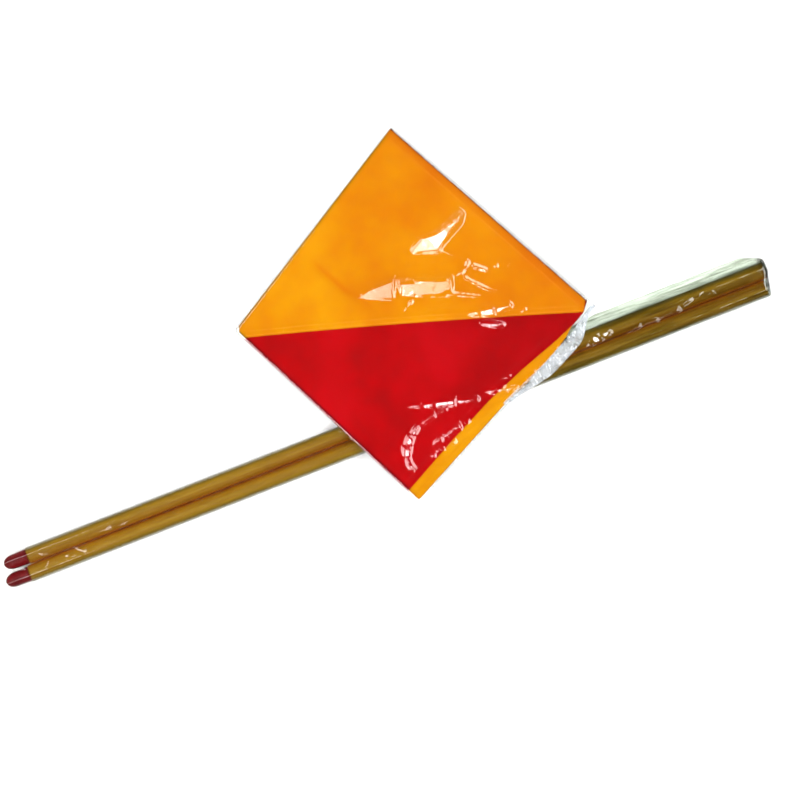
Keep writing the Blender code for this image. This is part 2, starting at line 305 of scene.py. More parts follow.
def redDippedLacquer():
    # nitro lacquer, dipped and left to drip: deep red, smooth, with a faint orange peel; sizes in mm
    lacquer = {"thin": "#560104", "thick": "#480103", "base": "#500104", "peel": 2.38, "patch": 11.1}
    material, shader = newMaterial("redDippedLacquer", lacquer["base"], 0.42,
                                   Coat_Weight=0.02, Coat_Roughness=0.1, Specular_IOR_Level=0.1)
    place = addNode(material, "ShaderNodeTexCoord").outputs["Object"]
    peel = addNode(material, "ShaderNodeTexNoise", sockets={
        "Scale": noiseScale(lacquer["peel"]), "Detail": 2.0, "Vector": place}).outputs["Fac"]
    patches = addNode(material, "ShaderNodeTexNoise", sockets={
        "Scale": noiseScale(lacquer["patch"]), "Vector": place}).outputs["Fac"]
    colour = addNode(material, "ShaderNodeValToRGB", sockets={"Fac": patches}, stops=[
        (0.35, lacquer["thick"]), (0.65, lacquer["thin"])]).outputs["Color"]
    bump = addNode(material, "ShaderNodeBump", sockets={
        "Strength": 0.25, "Distance": 0.0001, "Height": peel}).outputs["Normal"]
    plug(material, shader, {"Base Color": colour, "Normal": bump})
    return material


def wovenFlagCloth(name, dyeAndShade):
    # plain-woven polyester cotton: threads over and under, a faint sheen, and slow changes of dye depth;
    # its threads are about 0.35 mm apart, too fine to show here, so they are drawn 0.9 mm apart
    # pattern sizes in mm; half is half the open flag's side in metres
    cloth = {"thread": 0.9, "slub": 16.0, "dyePatch": 75.0, "half": 0.240}
    material, shader = newMaterial(name, dyeAndShade["mid"], 0.85, Sheen_Weight=0.01, Sheen_Roughness=0.5,
                                   Specular_IOR_Level=0.04)
    shader.inputs["Sheen Tint"].default_value = toLinear(dyeAndShade["light"])
    place = addNode(material, "ShaderNodeTexCoord").outputs["UV"]
    warp, weft = [addNode(material, "ShaderNodeTexWave", {"bands_direction": direction}, {
        "Scale": waveScale(cloth["thread"]), "Distortion": 0.6, "Vector": place}).outputs["Fac"]
        for direction in "XY"]
    overUnder = addNode(material, "ShaderNodeTexChecker", sockets={
        "Scale": noiseScale(cloth["thread"]), "Vector": place}).outputs["Fac"]
    weave = addNode(material, "ShaderNodeMix", {"data_type": "FLOAT"}, {
        0: overUnder, 2: warp, 3: weft}).outputs[0]
    slubs = addNode(material, "ShaderNodeTexNoise", sockets={
        "Scale": noiseScale(cloth["slub"]), "Detail": 3.0, "Vector": place}).outputs["Fac"]
    patches = addNode(material, "ShaderNodeTexNoise", sockets={
        "Scale": noiseScale(cloth["dyePatch"]), "Detail": 2.0, "Vector": place}).outputs["Fac"]
    depth = addNode(material, "ShaderNodeMix", {"data_type": "FLOAT"}, {
        0: 0.25, 2: patches, 3: slubs}).outputs[0]
    dyed = addNode(material, "ShaderNodeValToRGB", sockets={"Fac": depth}, stops=[
        (0.38, dyeAndShade["dark"]), (0.5, dyeAndShade["mid"]), (0.62, dyeAndShade["light"])]).outputs["Color"]
    threadShade = addNode(material, "ShaderNodeValToRGB", sockets={"Fac": weave}, stops=[
        (0.0, dyeAndShade["lint"]), (0.7, "#FFFFFF")]).outputs["Color"]
    colour = addNode(material, "ShaderNodeMix", colourMultiply, {
        0: 0.35, 6: dyed, 7: threadShade}).outputs[2]
    # darker towards the outer edge across; then painted shade in the soft valley, along the fold lines and
    # in a band along the top hem, and a painted shadow along the outermost edge, where the top layer shades
    # the cloth beneath
    split = addNode(material, "ShaderNodeSeparateXYZ", sockets={"Vector": place})
    fromMiddle = {axis: addNode(material, "ShaderNodeMath", {"operation": "ABSOLUTE"}, {
        0: split.outputs[axis]}).outputs[0] for axis in "XY"}
    fromFold = addNode(material, "ShaderNodeMath", {"operation": "MINIMUM"}, {
        0: fromMiddle["X"], 1: fromMiddle["Y"]}).outputs[0]
    # how far down the soft valley a point is, for the painted shade there
    paintedValleyShade = addNode(material, "ShaderNodeAttribute", {"attribute_name": "valleyShade"}).outputs["Fac"]
    half = cloth["half"]
    zones = ((fromMiddle["Y"], 0.05, 0.23, 0.0, 0.4, "hem"), (paintedValleyShade, 0.15, 1.0, 0.0, 0.55, "hem"),
             (fromFold, 0.0002, 0.0020, 0.75, 0.0, "fold"),
             (fromMiddle["Y"], half - 0.013, half - 0.001, 0.0, 0.6, "hem"),
             (fromMiddle["Y"], half - 0.0022, half - 0.0012, 0.0, 0.9, "edge"))
    for source, near, far, start, end, shade in zones:
        amount = addNode(material, "ShaderNodeMapRange", smoothRange, {
            "From Min": near, "From Max": far, "To Min": start, "To Max": end,
            "Value": source}).outputs["Result"]
        colour = addNode(material, "ShaderNodeMix", colourMix, {
            0: amount, 6: colour, 7: dyeAndShade[shade]}).outputs[2]
    bump = addNode(material, "ShaderNodeBump", sockets={
        "Strength": 0.3, "Distance": 0.00012, "Height": weave}).outputs["Normal"]
    plug(material, shader, {"Base Color": colour, "Normal": bump})
    return material


def sewingThread(name, colour):
    # spun polyester thread: slightly shinier and darker than the cloth, so that the stitches read
    # the plies' twist repeats every 0.63 mm
    thread = {"twist": 0.628}
    material, shader = newMaterial(name, colour, 0.5, Sheen_Weight=0.2)
    place = addNode(material, "ShaderNodeTexCoord").outputs["Object"]
    twist = addNode(material, "ShaderNodeTexWave", {"bands_direction": "DIAGONAL"}, {
        "Scale": waveScale(thread["twist"]), "Vector": place}).outputs["Fac"]
    bump = addNode(material, "ShaderNodeBump", sockets={
        "Strength": 0.4, "Distance": 0.00005, "Height": twist}).outputs["Normal"]
    plug(material, shader, {"Normal": bump})
    return material


def clearFilm(name, tint, roughness, transmission, crinkle, streak=None):
    # cast polypropylene film: clear, with a hard gloss that breaks into glints on each fold;
    # where it has been crumpled it turns white along the folds, so less of what is behind shows
    film = {
        # sizes in mm
        "ripple": 14.3, "streakWidth": 4.35, "blotch": 5.26, "whitening": 6.25,
        "streakStretch": 0.07, "taut": "#FCFDFB", "darkBlotchColour": "#3A3420",
        # in metres along the sleeve: where its slack part begins, and where it darkens in blotches at its
        # welded end
        "slackFrom": 0.06, "slackTo": 0.20, "weldFrom": 0.3770, "weldTo": 0.3850,
    }
    material, shader = newMaterial(name, tint, roughness, Transmission_Weight=transmission, IOR=1.49)
    place = addNode(material, "ShaderNodeTexCoord").outputs["Object"]
    ripple = addNode(material, "ShaderNodeTexNoise", sockets={
        "Scale": noiseScale(film["ripple"]), "Detail": 2.0, "Vector": place}).outputs["Fac"]
    bump = addNode(material, "ShaderNodeBump", sockets={
        "Strength": crinkle, "Distance": 0.0012, "Height": ripple}).outputs["Normal"]
    plug(material, shader, {"Normal": bump})
    if streak:
        # drawn lengthwise when it was made, so it is cloudy in long streaks
        drawn = addNode(material, "ShaderNodeMapping", sockets={
            "Scale": (film["streakStretch"], 1, 1), "Vector": place}).outputs["Vector"]
        cloud = addNode(material, "ShaderNodeTexNoise", sockets={
            "Scale": noiseScale(film["streakWidth"]), "Detail": 3.0, "Vector": drawn}).outputs["Fac"]
        cloudy = addNode(material, "ShaderNodeValToRGB", sockets={"Fac": cloud}, stops=[
            (0.36, streak), (0.56, tint)]).outputs["Color"]
        lengthwise = addNode(material, "ShaderNodeSeparateXYZ", sockets={"Vector": place}).outputs["X"]
        slack = addNode(material, "ShaderNodeMapRange", smoothRange, {
            "From Min": film["slackFrom"], "From Max": film["slackTo"],
            "Value": lengthwise}).outputs["Result"]
        colour = addNode(material, "ShaderNodeMix", colourMix, {
            0: slack, 6: film["taut"], 7: cloudy}).outputs[2]
        # and darker in blotches at its welded end
        weld = addNode(material, "ShaderNodeMapRange", smoothRange, {
            "From Min": film["weldFrom"], "From Max": film["weldTo"], "To Max": 1.5,
            "Value": lengthwise}).outputs["Result"]
        blotch = addNode(material, "ShaderNodeTexNoise", sockets={
            "Scale": noiseScale(film["blotch"]), "Detail": 2.0, "Vector": place}).outputs["Fac"]
        darkBlotchColour = addNode(material, "ShaderNodeMath", {"operation": "MULTIPLY", "use_clamp": True}, {
            0: weld, 1: blotch}).outputs[0]
        colour = addNode(material, "ShaderNodeMix", colourMix, {
            0: darkBlotchColour, 6: colour, 7: film["darkBlotchColour"]}).outputs[2]
        plug(material, shader, {"Base Color": colour})
    if transmission < 1:
        # the white of the crumples comes and goes
        patches = addNode(material, "ShaderNodeTexNoise", sockets={
            "Scale": noiseScale(film["whitening"]), "Detail": 3.0, "Roughness": 0.7,
            "Vector": place}).outputs["Fac"]
        clear = addNode(material, "ShaderNodeMapRange", sockets={
            "From Min": 0.36, "From Max": 0.58, "To Min": 1.0, "To Max": transmission,
            "Value": patches}).outputs["Result"]
        plug(material, shader, {"Transmission Weight": clear})
    return material


# fold, hem and edge are painted shade: fold along the fold lines, hem in the soft valley and along the top
# hem, edge a painted shadow at the outermost edge; hem also darkens the cloth towards the outer edge
yellowDyeAndShade = {"dark": "#AC6600", "mid": "#B27300", "light": "#B87E02", "fold": "#6A5400", "hem": "#A44A00",
             "edge": "#8C3C00", "lint": "#E3C48A"}
redDyeAndShade = {"dark": "#860003", "mid": "#920004", "light": "#9C020A", "fold": "#3A0008", "hem": "#620003",
          "edge": "#2C0004", "lint": "#C88080"}
pocketDyeAndShade = {"dark": "#AC6D00", "mid": "#B17602", "light": "#B57E06", "fold": "#9A6000", "hem": "#AC6400",
             "edge": "#8C3C00", "lint": "#E3C48A"}
woodMaterial = honeyVarnishedDowel()
lacquerMaterial = redDippedLacquer()
yellowCloth = wovenFlagCloth("goldenYellowFlagCloth", yellowDyeAndShade)
redCloth = wovenFlagCloth("signalRedFlagCloth", redDyeAndShade)
pocketCloth = wovenFlagCloth("goldenYellowPocketCloth", pocketDyeAndShade)
yellowThread = sewingThread("yellowSewingThread", "#D98A05")
redThread = sewingThread("redSewingThread", "#8C0306")
# film: tint, roughness, how much light it lets through, how strongly it ripples
bagFilm = clearFilm("clearPolypropyleneFilm", "#FDFEFC", 0.05, 1.0, 0.06)
sleeveFilm = clearFilm("greenishPolypropyleneFilm", "#E4EAE2", 0.05, 1.0, 0.04, "#BAC0B4")
crumpledFilm = clearFilm("crumpledPolypropyleneFilm", "#D6DADD", 0.14, 0.72, 0.6)
print("materials made")


# staffs and their lacquered tips, in mm
staff = {"sides": 72, "endRound": 0.9, "neckRound": 0.35, "gap": 0.3}
tip = {"length": 23.5, "baseRadius": 7.3, "noseRadius": 6.8, "noseLength": 9.5, "coat": 0.5,
       # the rim of the coat runs back unevenly, by this much and over this length
       "drip": 0.7, "dripLength": 6}


def noseProfile(inset):
    # (radius, distance from the apex) of the bullet nose and the taper behind it
    angles = np.linspace(0.02, math.pi / 2, 14)
    profile = [((tip["noseRadius"] - inset) * math.sin(a),
                inset + (tip["noseLength"] - inset) * (1 - math.cos(a))) for a in angles]
    for part in np.linspace(0.2, 1.0, 5):
        radius = tip["noseRadius"] + (tip["baseRadius"] - tip["noseRadius"]) * part ** 1.5
        reach = tip["noseLength"] + (tip["length"] - tip["noseLength"]) * part
        profile.append((radius - inset, reach))
    return profile


def turnedRings(profile, apexX, axisY, axisZ, drip=None):
    rings = []
    angles = np.linspace(0, 2 * math.pi, staff["sides"], endpoint=False)
    for radius, reach in profile:
        runBack = drip(reach, angles) if drip else 0 * angles
        rings.append(np.stack([apexX + (reach + runBack) * mm, axisY + radius * mm * np.cos(angles),
                               axisZ + radius * mm * np.sin(angles)], axis=1))
    return np.array(rings)


def quarterRound(size, count):
    # (height, run) along a rounded edge, both from 0 to size
    return [(size * math.sin(a), size * (1 - math.cos(a))) for a in np.linspace(0, math.pi / 2, count)]


def addStaff(number):
    low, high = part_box(f"staff_{number}")
    tipLow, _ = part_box(f"staff_{number}_tip")
    axisY, axisZ = (low.y + high.y) / 2, (low.z + high.z) / 2
    radius = (high.z - low.z) / 2 / mm
    length = (high.x - tipLow.x) / mm
    # the nose inside the coat, a rounded shoulder, the long body, and the rounded plain end
    neck = noseProfile(tip["coat"] + staff["gap"])
    shoulder = tip["length"] + staff["gap"]
    neck[-1] = (neck[-1][0], shoulder)
    bevel = staff["neckRound"]
    neck += [(radius - bevel + height, shoulder + run) for height, run in quarterRound(bevel, 4)]
    body = [(radius, reach) for reach in np.linspace(shoulder + 5, length - 5, 40)]
    bevel = staff["endRound"]
    end = [(radius - run, length - bevel + height) for height, run in quarterRound(bevel, 6)]
    face = [(part * (radius - bevel), length) for part in (0.66, 0.33, 0.02)]
    rings = turnedRings(neck + body + end + face, tipLow.x, axisY, axisZ)
    piece = addLoft(f"staff_{number}_dowel", rings, woodMaterial, True, True)
    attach(piece, f"staff_{number}")
    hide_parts(f"staff_{number}")

    def dripEdge(reach, angles):
        weight = max(0.0, (reach - tip["length"] + tip["dripLength"]) / tip["dripLength"])
        lobes = np.sin(angles * 2 + number) * np.sin(angles * 5 + 2 * number)
        return -tip["drip"] * weight * (0.5 + 0.5 * lobes)

    coat = noseProfile(0.0) + noseProfile(tip["coat"])[::-1]
    rings = turnedRings(coat, tipLow.x, axisY, axisZ, dripEdge)
    piece = addLoft(f"staff_{number}_lacquer_tip", rings, lacquerMaterial, True, True)
    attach(piece, f"staff_{number}")
    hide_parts(f"staff_{number}_tip")


for number in (1, 2):
    addStaff(number)
print("staffs made")


# film sleeve round the staffs, in mm
sleeve = {
    "stationStep": 2.0, "around": 96, "film": 0.12,
    # the slack film on the +Y side ends in a fold, let out by this share along X
    "slackFoldY": 25.8, "slackFoldRadius": 0.8,
    "slackAt": [(-387, 0), (140, 0), (165, 0.25), (195, 0.75), (220, 0.98), (366, 1.0), (378, 0.55),
                (386, 0.22)],
    # the closed end rounds over the staffs' plain ends: (distance from the end, shrink)
    "endRound": [(2.2, 0.2), (1.2, 0.7), (0.5, 1.6), (0.0, 3.2)],
    # and it is drawn in round the shorter staff: by how much, and from which X to which
    "endDrawnIn": 4.4, "endDrawnFrom": 352, "endDrawnTo": 386,
    # where along X the film gets loose
    "looseFrom": 120, "looseTo": 200,
    # how high its ripples stand: everywhere, where it is loose, and on the slack side; then its creases
    "taut": 0.03, "loose": 0.12, "slackRipple": 0.9, "slackCrease": 0.6, "looseCrease": 0.25,
    # the folds that face the lamp: see facetField
    "flank": 0.8, "dome": 0.3, "facetBase": 0.08,
}
# folds of the top film that face the key lamp: outlines, or strips of X, Y and width
sleeveFacets = [
    [(200, 1), (209, 0), (206, 7), (204, 5)],
    [(210, 0), (219, 2), (215, 10), (207, 7.5)],
    [(220, 2), (226, 4), (229, 6), (222, 12), (216, 10.5)],
    *strip((-345, 7, 0.8), (-340, 5, 1.8), (-335, 4, 0.8)),
    *strip((-322, -4, 0.8), (-317, -5, 2.2), (-310, -7, 1.0)),
    *strip((-312, 2, 1.0), (-306, -4, 2.4), (-300, -8, 1.0)),
    *strip((-284, 5, 0.5), (-270, 5, 1.2), (-255, 4, 0.5)),
    *strip((-343, -8, 0.8), (-337, -4, 1.4)),
    *strip((-377, 3, 0.8), (-361, -1, 1.0)),
    *strip((201, -6, 2.2), (206, -5, 2.2)),
    *strip((224, -1, 2.2), (229, 0, 2.2)),
    *strip((240, -2, 0.6), (255, 2, 1.1), (272, 1, 1.1), (294, 3, 1.4), (308, 8, 1.4)),
    *strip((308, 8, 1.4), (319, 10, 1.4), (335, 17, 0.8)),
    *strip((323, 7, 1.0), (331, 6, 2.8), (338, 6, 1.0)),
    *strip((330, -4, 2.2), (334, -2, 2.2)),
    *strip((378, 12, 1.0), (378, 7, 1.8), (373, 4, 1.6), (367, 5, 0.8)),
    *strip((216, 22, 1.0), (224, 21, 2.4), (236, 22, 1.0)),
    *strip((262, 21, 0.8), (290, 23, 1.2), (330, 24, 0.8)),
]


def sleeveSection(slack, shrink, axisY, axisZ, radius):
    # points (y, z, normal y, normal z) once round the film, evenly spaced, in metres: the half round of
    # one staff, the slack fold, and the upper quarter round of the other staff
    foldY = axisY + (sleeve["slackFoldY"] * mm - axisY) * slack
    foldRadius = radius + (sleeve["slackFoldRadius"] * mm - radius) * slack
    across = sleeve["slackFoldY"] * mm - axisY
    down = radius - sleeve["slackFoldRadius"] * mm
    tangent = math.acos(down / math.hypot(across, down)) - math.atan2(down, across)
    up = math.pi / 2
    arcs = [(-axisY, axisZ, radius, up, 3 * up, 40), (foldY, foldRadius, foldRadius, -up, tangent, 30),
            (axisY, axisZ, radius, tangent, up, 20)]
    points = []
    for y, z, bend, start, end, steps in arcs:
        for angle in np.linspace(start, end, steps):
            out, rise = math.cos(angle), math.sin(angle)
            points.append((y + (bend - shrink) * out, z + (bend - shrink) * rise, out, rise))
    points.append(points[0])
    points = np.array(points)
    steps = np.hypot(*np.diff(points[:, :2], axis=0).T)
    run = np.concatenate([[0], np.cumsum(steps)])
    even = np.linspace(0, run[-1], sleeve["around"], endpoint=False)
    return np.stack([np.interp(even, run, points[:, k]) for k in range(4)], axis=1)


def addSleeve():
    low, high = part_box("staff_sleeve")
    # staff_1 lies on the +Y side, staff_2 is its mirror image
    staffLow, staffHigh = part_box("staff_1")
    axisY, axisZ = (staffLow.y + staffHigh.y) / 2, (high.z + low.z) / 2
    radius = (high.z - low.z) / 2
    count = int((high.x - low.x) / mm / sleeve["stationStep"])
    slackX, slackValue = zip(*sleeve["slackAt"])
    stations = [(x, 0.0) for x in np.linspace(low.x, high.x - 3 * mm, count)]
    stations += [(high.x - reach * mm, shrink * mm) for reach, shrink in sleeve["endRound"]]
    rings = []
    for x, shrink in stations:
        section = sleeveSection(float(np.interp(x / mm, slackX, slackValue)), shrink, axisY, axisZ, radius)
        rings.append(np.concatenate([np.full((len(section), 1), x), section], axis=1))
    rings = np.array(rings)
    x, y, z, normalY, normalZ = np.moveaxis(rings, 2, 0)
    # the top film carries the folds; the underside stays flat on the floor
    topSide = np.clip(normalZ * 1.6, 0, 1)
    loose = smoothStep(x / mm, sleeve["looseFrom"], sleeve["looseTo"])
    slackSide = smoothStep(y, 0.010, 0.018) * topSide * loose
    height = sleeve["taut"] + sleeve["loose"] * loose
    lift = height * (1 + smoothNoise(x, y, 0.016, 3.0)) * topSide
    lift += slackSide * sleeve["slackRipple"] * (1 + smoothNoise(x, y, 0.012, 21.0))
    # long creases run with the staffs where the slack film was folded over
    lift += slackSide * sleeve["slackCrease"] * np.abs(smoothNoise(x * 0.12, y, 0.0028, 14.0))
    lift += loose * topSide * sleeve["looseCrease"] * np.abs(smoothNoise(x * 0.25, y, 0.004, 33.0))
    lift *= mm
    # the facets rise from the level of the staffs' crowns, and are left out far down the sides
    crown = np.where(topSide > 0.5, high.z - z, 1.0)
    facets = facetField(x, y, sleeveFacets, keyPlace, 0.0, sleeve["flank"], sleeve["dome"],
                        sleeve["facetBase"] * mm) - crown
    raised = np.maximum(lift, np.where(crown < 0.006, facets, 0.0))
    drawn = sleeve["endDrawnIn"] * mm * (1 - smoothStep(y / mm, -6, 8))
    drawn = drawn * smoothStep(x / mm, sleeve["endDrawnFrom"], sleeve["endDrawnTo"])
    points = np.stack([x - drawn, y + normalY * lift, z + np.where(topSide > 0, raised, 0.0)], axis=2)
    points[:, :, 2] = np.where(normalZ > 0.05, points[:, :, 2], z + normalZ * lift)
    piece = addLoft("staff_sleeve_film", points, sleeveFilm, False, True)
    addThickness(piece, sleeve["film"] * mm, -1.0)
    piece.visible_shadow = False
    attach(piece, "staff_sleeve")
    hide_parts("staff_sleeve")


addSleeve()
print("film sleeve made")


# the folded flags lie in a plane that leans from the sleeve down to the floor; sizes in mm
packet = {
    # plan corners: L is the middle of each flag, where both fold lines cross
    "L": (-96.4, 134.5), "T": (106.0, 257.5), "R": (221.9, 35.3), "B": (5.3, -74.6),
    # a place on the folded flag is along, from L to B, and across, from L to T
    "side": 240.0, "pitch": 1.1, "cloth": 0.3, "grid": 4.0, "bendSteps": 8, "topShort": 1.5,
    # the packet rests this far above the sleeve, and the bag's film this far from the cloth
    "restGap": 0.3, "bagGap": 0.5,
    # where the diagonal seam starts along the near edge, and how far corner L is cut back round it
    "seam": 11.5, "seamGap": 0.42, "relief": 3.0,
    # the pole pocket, which bulges and is then drawn in towards corner R
    "pocket": 32.0, "pocketHeight": 0.75, "gap": 0.3, "pocketBulge": 2.4,
    "drawnInStart": 204.0, "drawnInSlope": 0.24,
    # the stack of layers is pressed thinner towards its free edge, from this far across
    "pressFrom": 226.0, "press": 0.3,
    # hems and the felled seam are a little thicker than the cloth, over a short ramp
    "hemStart": 230.0, "fellWidth": 6.8, "fold": 0.12, "foldRamp": 0.7, "seamRamp": 0.4,
}
# the fly edge of the layer that shows, as (along, across): the pole pocket shows past it
fly = {
    "edge": [(227.0, 0.0), (226.2, 60.0), (227.4, 112.0), (230.9, 152.0), (236.5, 194.0), (238.0, 214.0)],
    "top": 232.8, "seamEnd": (237.6, 229.4),
}
# the slow waves of the stack, and one soft valley across the yellow half: X and Y in mm
waves = {
    "slow": 0.16, "quick": 0.07, "valley": ((-12, 176), (8, 136), (36, 97)), "deepest": (8, 136),
    "valleyDepth": 1.9, "valleyReach": 48, "gentleSide": 11.0, "steepSide": 4.5,
}


def packetFrame():
    # the leaning plane of the middle of the packet: a point of it over staff_1, and its tilt about X
    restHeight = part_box("staff_sleeve")[1].z + packet["restGap"] * mm
    staffLow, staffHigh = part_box("staff_1")
    pivotY = (staffLow.y + staffHigh.y) / 2
    run = (packet["T"][1] + 0.5) * mm - pivotY
    tilt = math.atan2(restHeight, run)
    bagHalf = (3.5 * packet["pitch"] + packet["cloth"] / 2 + packet["bagGap"]) * mm
    return pivotY, restHeight + bagHalf / math.cos(tilt), tilt


pivotY, pivotZ, tilt = packetFrame()


def packetPlan(along, across):
    # plan position in metres of a point of the folded flag: along runs L to B, across L to T, in mm
    u, v = along / packet["side"], across / packet["side"]
    corner = {name: np.array(packet[name]) * mm for name in "LTRB"}
    spread = [corner["L"][k] * (1 - u) * (1 - v) + corner["B"][k] * u * (1 - v)
              + corner["T"][k] * (1 - u) * v + corner["R"][k] * u * v for k in (0, 1)]
    return spread[0], spread[1]


def packetPoints(along, across, height):
    # the same point in space; height in mm is square to the leaning plane
    x, y = packetPlan(along, across)
    planeZ = pivotZ - (y - pivotY) * math.tan(tilt)
    return np.stack([x, y + height * mm * math.sin(tilt), planeZ + height * mm * math.cos(tilt)], axis=-1)


def clothWave(along, across, depth):
    # height in mm of the waves and the valley, and how far down the valley a point is, from 0 to 1;
    # depth is 0 on the top layer and 1 at the bottom
    x, y = packetPlan(along, across)
    wave = waves["slow"] * smoothNoise(x, y, 0.05, 5.0) + waves["quick"] * smoothNoise(x, y, 0.017, 8.0)
    x, y = x / mm, y / mm
    ends = np.clip(np.hypot(x - waves["deepest"][0], y - waves["deepest"][1]) / waves["valleyReach"], 0, 1)
    fall = np.zeros_like(x)
    for (x0, y0), (x1, y1) in zip(waves["valley"], waves["valley"][1:]):
        length = math.hypot(x1 - x0, y1 - y0)
        tx, ty = (x1 - x0) / length, (y1 - y0) / length
        part = np.clip(((x - x0) * tx + (y - y0) * ty) / length, 0, 1)
        off = np.hypot(x - x0 - part * tx * length, y - y0 - part * ty * length)
        side = (y - y0) * tx - (x - x0) * ty
        width = np.where(side > 0, waves["gentleSide"], waves["steepSide"])
        fall = np.maximum(fall, np.clip(1 - off / width, 0, 1) ** 1.5 * (1 - ends ** 2))
    return (wave - waves["valleyDepth"] * fall) * (1 - depth), fall * (1 - depth)


def pressed(height, across):
    # the height of a layer after the free edge is pressed thinner
    return height * (1 - packet["press"] * smoothStep(across, packet["pressFrom"], packet["side"]))


def pocketEdge(across):
    # the hoist is straight, bulges a little before corner R, and is then drawn in
    bulge = packet["pocketBulge"] * smoothStep(across, 118, 150) * (1 - smoothStep(across, 180, 214))
    return packet["side"] + bulge - packet["drawnInSlope"] * np.maximum(0.0, across - packet["drawnInStart"])


def panelEdge(across):
    # where the panels of the hidden layers are sewn to the pocket
    return pocketEdge(across) - packet["pocket"] - packet["gap"]


def seamMeetsPocket():
    # where the diagonal seam of a hidden layer runs into the pocket
    straight = packet["side"] - packet["pocket"] - packet["gap"]
    slope = packet["drawnInSlope"]
    along = (straight - slope * (packet["seam"] - packet["drawnInStart"])) / (1 + slope)
    return along, along + packet["seam"]


def bendFaces(edge, start, end, upper, lower):
    # the half round that joins two layers along a fold line
    middle, radius = (upper + lower) / 2, (upper - lower) / 2
    rows = []
    for i in range(packet["bendSteps"] + 1):
        angle = math.pi * i / packet["bendSteps"]
        out, height = -radius * math.sin(angle), middle + radius * math.cos(angle)
        if edge == "along":
            rows.append(((out, start, height), (out, end, height)))
        else:
            rows.append(((start, out, height), (end, out, height)))
    return [(a[0], a[1], b[1], b[0]) for a, b in zip(rows, rows[1:])]


def levelFaces(*outlines):
    return [[(along, across, height) for along, across in outline] for outline, height in outlines]


def yellowFaces(heights):
    # the yellow half covers most of layer A, all of layer B and a narrow strip of layer C
    a, b, c, _ = heights
    relief, seam = packet["relief"], packet["seam"]
    top = packet["side"] - packet["topShort"]
    turn = packet["drawnInStart"]
    # the top edge is a little hollow near both corners, where the red layers below show past it
    hollow = [(10, top), (16, top - 1.6), (31, top - 1.4), (44, top), (205, top), (218, top - 1.0)]
    layerA = [(0, relief), (0, top), *hollow, (fly["top"], top - 1.7), fly["seamEnd"], (seam, 0),
              (relief, 0)]
    hoist = [(panelEdge(turn), turn), (panelEdge(0), 0), (relief, 0)]
    layerB = [(0, relief), (0, top), (panelEdge(top), top)] + hoist
    layerC = [(0, relief), (0, seam), seamMeetsPocket()] + hoist
    faces = levelFaces((layerA, a), (layerB, b), (layerC, c))
    faces += bendFaces("along", relief, top, a, b)
    faces += bendFaces("across", relief, panelEdge(0), b, c)
    return faces


def redFaces(heights):
    # the red half covers the rest of layer A, most of layer C and all of layer D
    a, _, c, d = heights
    start, side = packet["seam"] + packet["seamGap"], packet["side"]
    meeting = seamMeetsPocket()
    seamEnd = (fly["seamEnd"][0], fly["seamEnd"][1] - packet["seamGap"])
    layerA = [(start, 0), *fly["edge"], seamEnd]
    layerC = [(0, start), (meeting[0], meeting[1] + packet["seamGap"]), (panelEdge(side), side), (0, side)]
    layerD = layerA + [(fly["top"], side), (0, side), (0, start)]
    faces = levelFaces((layerA, a), (layerC, c), (layerD, d))
    faces += bendFaces("across", start, fly["edge"][0][0], a, d)
    faces += bendFaces("along", start, side, c, d)
    return faces


def seamOffset(along, across):
    # distance in mm from the diagonal seam, positive on the yellow side
    run, rise = fly["seamEnd"][0] - packet["seam"], fly["seamEnd"][1]
    return (across * run - (along - packet["seam"]) * rise) / math.hypot(run, rise)


def sewnFold(along, across):
    # extra height of the hem and of the felled seam on the top layer
    ramp, width = packet["foldRamp"], packet["fellWidth"]
    hem = smoothStep(across, packet["hemStart"], packet["hemStart"] + ramp)
    offset = seamOffset(along, across)
    fell = smoothStep(offset, 0.0, packet["seamRamp"]) * (1 - smoothStep(offset, width, width + ramp))
    return packet["fold"] * np.maximum(hem, fell)


def cutGrid(grid, place, normal):
    # adds a line of points where a plane meets the cloth
    everything = grid.verts[:] + grid.edges[:] + grid.faces[:]
    bmesh.ops.bisect_plane(grid, geom=everything, plane_co=place, plane_no=normal, dist=0.01)


